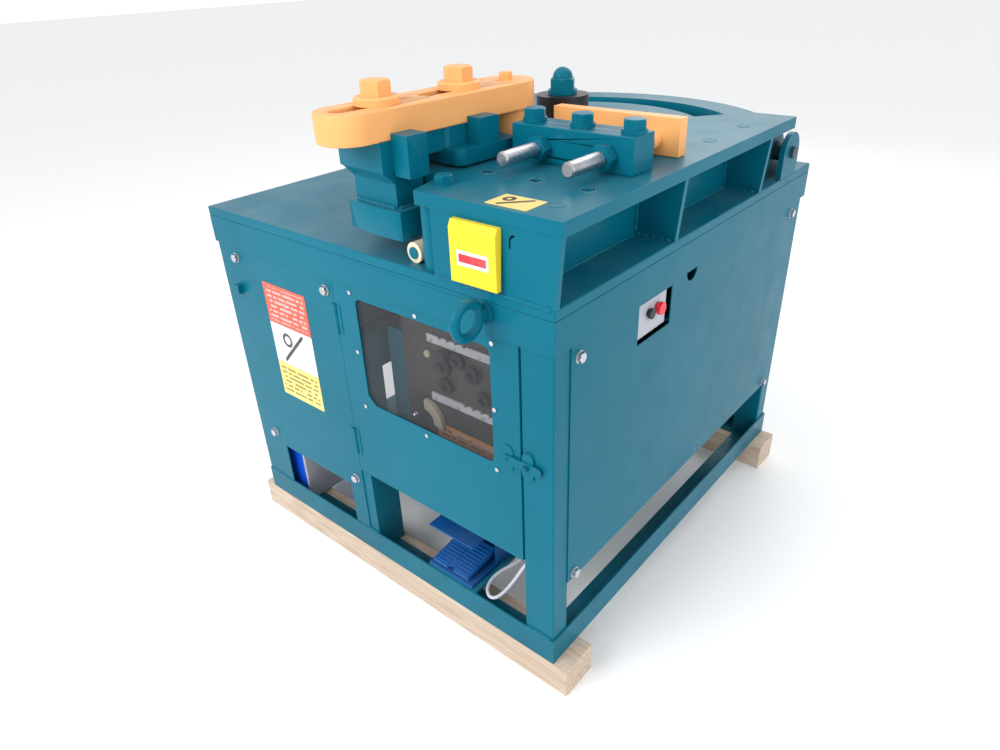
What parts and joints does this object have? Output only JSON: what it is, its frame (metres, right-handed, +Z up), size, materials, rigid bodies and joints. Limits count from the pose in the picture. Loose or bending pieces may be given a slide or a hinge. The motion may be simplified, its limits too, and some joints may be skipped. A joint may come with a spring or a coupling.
{
  "type": "reinforcing bar bender",
  "caption": "Stationary hydraulic rebar bender: steel cabinet on timber skids with a round table, centre roller, adjustable stop plate and a swinging arm carrying a bending roller.",
  "frame": {"origin": "on the floor under the middle of the machine's overall footprint", "axes": "+Z up, front (the side with the window door) towards -Y, right side (push buttons) towards +X"},
  "size_m": [1.068, 1.272, 1.203],
  "materials": {
    "green_paint": "glossy teal enamel, scuffed",
    "bolt_zinc": "zinc plated",
    "steel": "turned and oiled",
    "orange_paint": "glossy orange enamel",
    "black_roller": "blackened, smooth",
    "black_plastic": "moulded",
    "hose_rubber": "smooth",
    "red_plastic": "moulded",
    "yellow_paint": "glossy enamel, chipped",
    "timber": "rough sawn softwood",
    "grey_box": "satin",
    "blue_paint": "satin enamel",
    "dark_board": "satin",
    "cream_plastic": "moulded",
    "smoked_pane": "clear sheet",
    "grey_cable": "smooth sheath"
  },
  "bodies": {
    "cabinet": {"base_frame": "green_paint", "corner_posts": "green_paint", "rim_frame": "green_paint", "lid_plate": "green_paint", "table_plate": "green_paint", "table_supports": "green_paint", "front_panel": "green_paint", "right_panel": "green_paint", "left_panel": "green_paint", "rear_panel": "green_paint", "panel_bolts": "bolt_zinc", "lifting_eyes": "green_paint", "skids": "timber", "switch_plate": "grey_box", "return_switch": "black_plastic", "reaction_block": "green_paint", "block_bolts": "green_paint", "lock_nuts": "green_paint", "drive_bed": "green_paint", "bearing_housing": "green_paint", "centre_pin": "green_paint", "cylinder_barrel": "green_paint", "oil_tank": "blue_paint", "motor": "blue_paint", "pump": "black_plastic", "valve_block": "steel", "hydraulic_pipes": "hose_rubber", "control_box": "grey_box", "gauge_plate": "dark_board", "gauge_rails": "steel", "limit_switches": "black_plastic", "conduit": "black_plastic", "latch_staple": "green_paint", "rear_lugs": "green_paint", "foot_switch_base": "blue_paint", "foot_cable": "grey_cable"},
    "swing_arm": {"main_shaft": "steel", "pinion_gear": "steel", "lower_arm": "green_paint", "arm_carrier": "green_paint", "arm_bolts": "orange_paint"},
    "bar": {"arm_bar": "orange_paint", "roller_pin": "orange_paint"},
    "roller_outer": {"bending_roller": "orange_paint"},
    "roller_centre": {"centre_roller": "black_roller"},
    "roller_under": {"support_roller": "cream_plastic"},
    "rack": {"drive_rack": "steel"},
    "slider": {"gauge_slider": "cream_plastic"},
    "plate": {"receiving_plate": "orange_paint", "adjusting_studs": "steel"},
    "door": {"window_door": "green_paint", "window_pane": "smoked_pane", "window_screws": "steel"},
    "latch": {"door_latch": "green_paint"},
    "button_start": {"start_button": "black_plastic"},
    "button_stop": {"stop_button": "red_plastic"},
    "flap": {"return_flap": "yellow_paint"},
    "pedal": {"foot_pedal": "blue_paint"},
    "coupling": {"drive_coupling": "steel"},
    "roller_rear": {"lug_roller": "steel"}
  },
  "joints": [
    {"name": "arm_swing", "type": "hinge", "parent": "cabinet", "child": "swing_arm", "pos_m": [0.112, 0.01, 0.9], "axis": [0, 0, -1], "range_deg": [0, 200]},
    {"name": "rack_slide", "type": "slide", "parent": "cabinet", "child": "rack", "axis": [0, -1, 0], "range_m": [0, 0.1834]},
    {"name": "gauge_slide", "type": "slide", "parent": "cabinet", "child": "slider", "axis": [1, 0, 0], "range_m": [0, 0.1397]},
    {"name": "arm_adjust", "type": "slide", "parent": "swing_arm", "child": "bar", "axis": [0.061, 0.9981, 0], "range_m": [0, 0.075]},
    {"name": "bending_roller_spin", "type": "hinge", "parent": "bar", "child": "roller_outer", "pos_m": [0.10083, -0.17266, 1.08], "axis": [0, 0, 1], "continuous": true},
    {"name": "centre_roller_spin", "type": "hinge", "parent": "cabinet", "child": "roller_centre", "pos_m": [0.112, 0.01, 1.08], "axis": [0, 0, 1], "continuous": true},
    {"name": "support_roller_spin", "type": "hinge", "parent": "swing_arm", "child": "roller_under", "pos_m": [0.17045, -0.50854, 0.917], "axis": [-0.061, -0.9981, 0], "continuous": true},
    {"name": "rear_roller_spin", "type": "hinge", "parent": "cabinet", "child": "roller_rear", "pos_m": [0.475, 0.4, 0.953], "axis": [1, 0, 0], "continuous": true},
    {"name": "coupling_spin", "type": "hinge", "parent": "cabinet", "child": "coupling", "pos_m": [-0.23, 0.116, 0.254], "axis": [0, 1, 0], "continuous": true},
    {"name": "plate_slide", "type": "slide", "parent": "cabinet", "child": "plate", "axis": [0, 1, 0], "range_m": [-0.04, 0.03]},
    {"name": "door_hinge", "type": "hinge", "parent": "cabinet", "child": "door", "pos_m": [-0.0715, -0.5465, 0.568], "axis": [0, 0, -1], "range_deg": [0, 110]},
    {"name": "latch_swing", "type": "hinge", "parent": "door", "child": "latch", "pos_m": [0.391, -0.55, 0.566], "axis": [0, -1, 0], "range_deg": [0, 90]},
    {"name": "start_press", "type": "slide", "parent": "cabinet", "child": "button_start", "axis": [-1, 0, 0], "range_m": [0, 0.004], "stiffness_N_per_m": 500},
    {"name": "stop_press", "type": "slide", "parent": "cabinet", "child": "button_stop", "axis": [-1, 0, 0], "range_m": [0, 0.004], "stiffness_N_per_m": 500},
    {"name": "flap_press", "type": "hinge", "parent": "cabinet", "child": "flap", "pos_m": [0.346, -0.556, 0.999], "axis": [1, 0, 0], "range_deg": [0, 3], "stiffness_Nm_per_rad": 8},
    {"name": "pedal_press", "type": "hinge", "parent": "cabinet", "child": "pedal", "pos_m": [0.202, -0.446, 0.178], "axis": [1, 0, 0], "range_deg": [0, 3.5], "stiffness_Nm_per_rad": 30, "springref_deg": -1.72}
  ],
  "couplings": [
    {"joint": "rack_slide", "follows": "arm_swing", "m_per_rad": 0.0525},
    {"joint": "gauge_slide", "follows": "arm_swing", "m_per_rad": 0.04}
  ]
}
